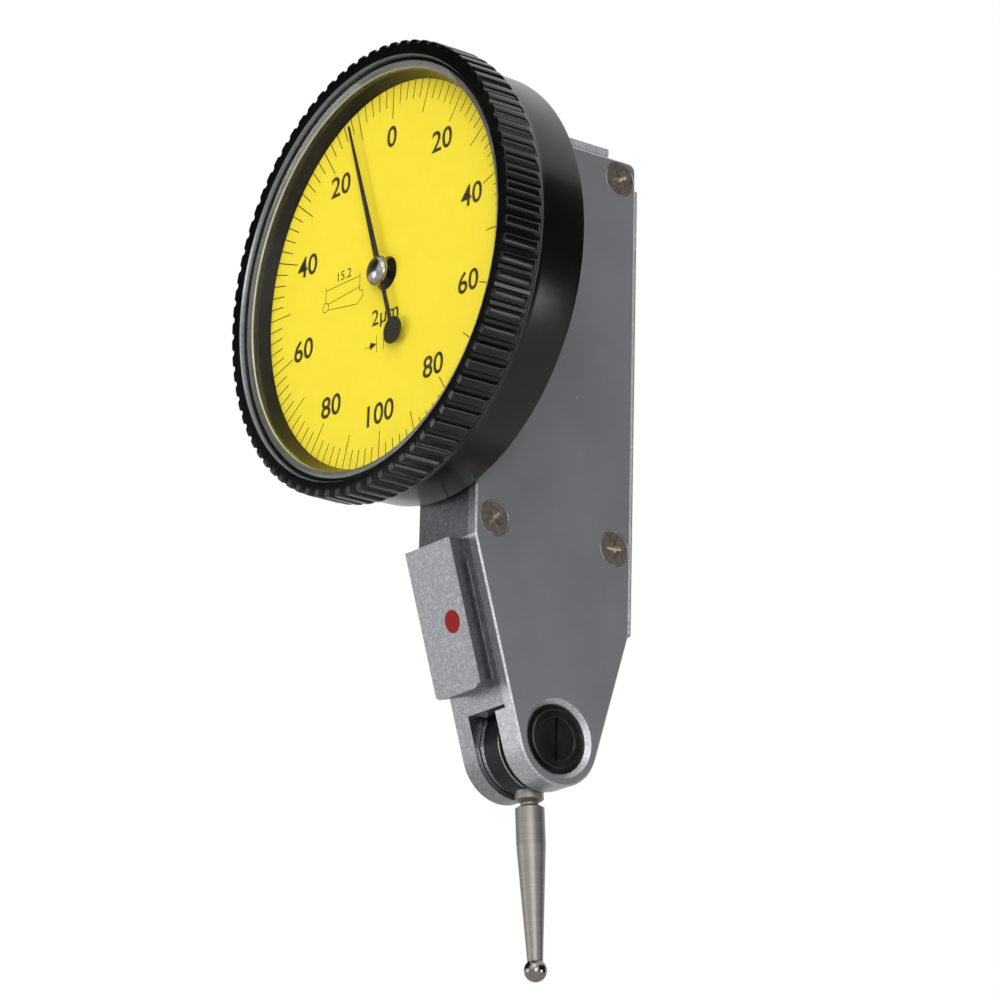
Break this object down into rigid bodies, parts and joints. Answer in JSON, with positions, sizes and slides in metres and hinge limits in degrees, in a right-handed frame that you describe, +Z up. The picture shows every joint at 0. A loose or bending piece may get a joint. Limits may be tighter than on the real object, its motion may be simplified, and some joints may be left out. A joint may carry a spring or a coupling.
{
  "type": "dial test indicator",
  "caption": "Lever-type dial test indicator with swivelling ball-tipped stylus, turning fluted bezel, one pointer, and dovetail rails on front, back and top.",
  "frame": {"origin": "On the outer face of the back dovetail rail, on the body's mid-plane, at the height of the dial's axis", "axes": "+Z runs up the body, away from the stylus; the dial faces -Y and the back rail faces +Y; +X is to the right seen from the dial, towards the side cover"},
  "size_m": [0.04, 0.027, 0.079],
  "materials": {
    "cast_body": "satin chromed casting",
    "cover_plate": "satin brushed plate",
    "screw_nickel": "nickel plated",
    "black_steel": "black oxide",
    "bearing_steel": "ground",
    "spring_steel": "bright drawn",
    "brass_movement": "machined",
    "jewel": "polished synthetic ruby",
    "holder_black": "blue-black oxide",
    "stylus_steel": "fine turned",
    "carbide_ball": "polished carbide",
    "bezel_black": "gloss black",
    "crystal_clear": "clear acrylic",
    "seal_black": "matt",
    "dial_yellow": "printed enamel",
    "case_black": "black anodised",
    "pointer_black": "matt black",
    "hub_silver": "polished",
    "red_enamel": "enamel"
  },
  "bodies": {
    "root": {"body_casting": "cast_body", "side_cover": "cover_plate", "cover_screws": "screw_nickel", "pivot_bearing_caps": "black_steel", "pivot_bearings": "bearing_steel", "lever_stops": "spring_steel", "spring_post": "spring_steel", "lever_spring": "spring_steel", "jewel_bearings": "jewel", "movement_bridge": "brass_movement", "hairspring_stud": "brass_movement", "bridge_screws": "spring_steel", "hairspring": "spring_steel", "dial_case": "case_black", "case_screws": "screw_nickel", "bezel_spring": "spring_steel", "arbor_bush": "brass_movement", "red_dot": "red_enamel"},
    "bezel": {"bezel": "bezel_black", "crystal": "crystal_clear", "crystal_seal": "seal_black", "dial_plate": "dial_yellow"},
    "pointer": {"pointer": "pointer_black", "pointer_cap": "hub_silver", "pointer_arbor": "bearing_steel"},
    "crown": {"crown_gear": "brass_movement", "crown_arbor": "bearing_steel", "hairspring_collet": "brass_movement"},
    "lever": {"lever": "brass_movement", "pivot_shaft": "bearing_steel", "clutch_nut": "brass_movement"},
    "stylus": {"stylus_holder": "holder_black", "clutch_washer": "spring_steel", "contact_stylus": "stylus_steel", "contact_ball": "carbide_ball"}
  },
  "joints": [
    {"name": "bezel_turn", "type": "hinge", "parent": "root", "child": "bezel", "pos_m": [0, -0.0225, 0], "axis": [0, 1, 0], "continuous": true},
    {"name": "lever_swing", "type": "hinge", "parent": "root", "child": "lever", "pos_m": [0, -0.0084, -0.03895], "axis": [1, 0, 0], "range_deg": [-0.33, 0.33], "stiffness_Nm_per_rad": 0.002},
    {"name": "stylus_set", "type": "hinge", "parent": "lever", "child": "stylus", "pos_m": [0, -0.0084, -0.03895], "axis": [1, 0, 0], "range_deg": [-95, 95]},
    {"name": "crown_spin", "type": "hinge", "parent": "root", "child": "crown", "pos_m": [0, -0.01037, 0], "axis": [1, 0, 0], "range_deg": [-21.12, 21.12]},
    {"name": "pointer_spin", "type": "hinge", "parent": "root", "child": "pointer", "pos_m": [0, -0.022, 0], "axis": [0, 1, 0], "range_deg": [-198, 198]}
  ],
  "couplings": [
    {"joint": "crown_spin", "follows": "lever_swing", "ratio": -64},
    {"joint": "pointer_spin", "follows": "lever_swing", "ratio": 600}
  ]
}
